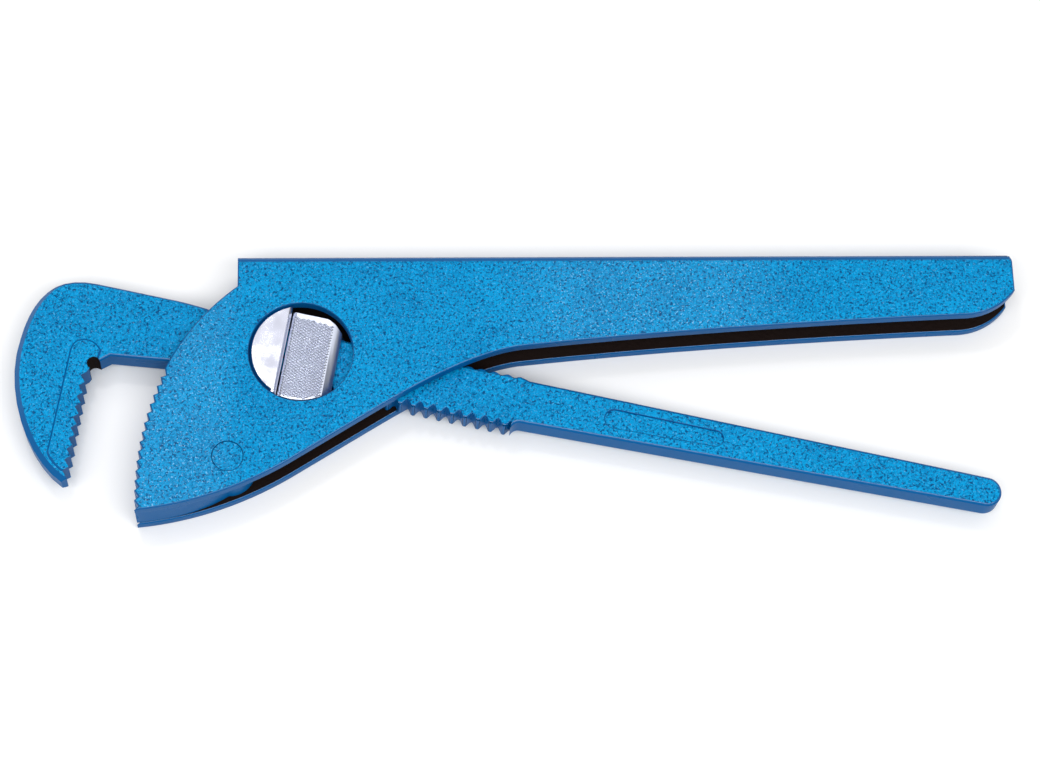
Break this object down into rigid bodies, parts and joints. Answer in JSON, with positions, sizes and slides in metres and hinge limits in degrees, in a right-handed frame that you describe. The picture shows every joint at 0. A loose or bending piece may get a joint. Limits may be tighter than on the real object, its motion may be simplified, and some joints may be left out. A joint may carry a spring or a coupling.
{
  "type": "pipe wrench",
  "caption": "Quick-adjusting pipe wrench: folded steel upper handle with toothed nose, sliding hook jaw with rack shank and lower handle, pivot drum and thumb slide.",
  "frame": {"origin": "centre of the footprint of the tool lying on its side, on the lower side face", "axes": "+X towards the free ends of the handles, +Y towards the spine of the upper handle, +Z through the thickness"},
  "size_m": [0.3202, 0.086, 0.0184],
  "materials": {
    "blue_enamel": "hammertone enamel, semi-gloss, over steel",
    "drum_steel": "polished face with a turned edge",
    "slide_steel": "fine diamond knurl on the thumb faces, smooth bevels",
    "spring_steel": "blued spring strip"
  },
  "bodies": {
    "frame": {"frame_shell": "blue_enamel", "nose_block": "blue_enamel", "nose_rivet_rear": "blue_enamel", "nose_rivet_upper": "blue_enamel", "nose_rivet_lower": "blue_enamel"},
    "drum": {"pivot_drum": "drum_steel"},
    "slide": {"thumb_slide": "slide_steel", "slide_spring": "spring_steel"},
    "jaw": {"hook_jaw": "blue_enamel"}
  },
  "joints": [
    {"name": "drum_pivot", "type": "hinge", "parent": "frame", "child": "drum", "pos_m": [-0.06915, 0.00965, 0.0092], "axis": [0, 0, 1], "range_deg": [-22, 10]},
    {"name": "slide_engage", "type": "slide", "parent": "drum", "child": "slide", "axis": [0.184, 0.9829, 0], "range_m": [0, 0.0023]},
    {"name": "jaw_adjust", "type": "slide", "parent": "drum", "child": "jaw", "axis": [-0.9744, 0.225, 0], "range_m": [-0.0126, 0.0504]}
  ]
}
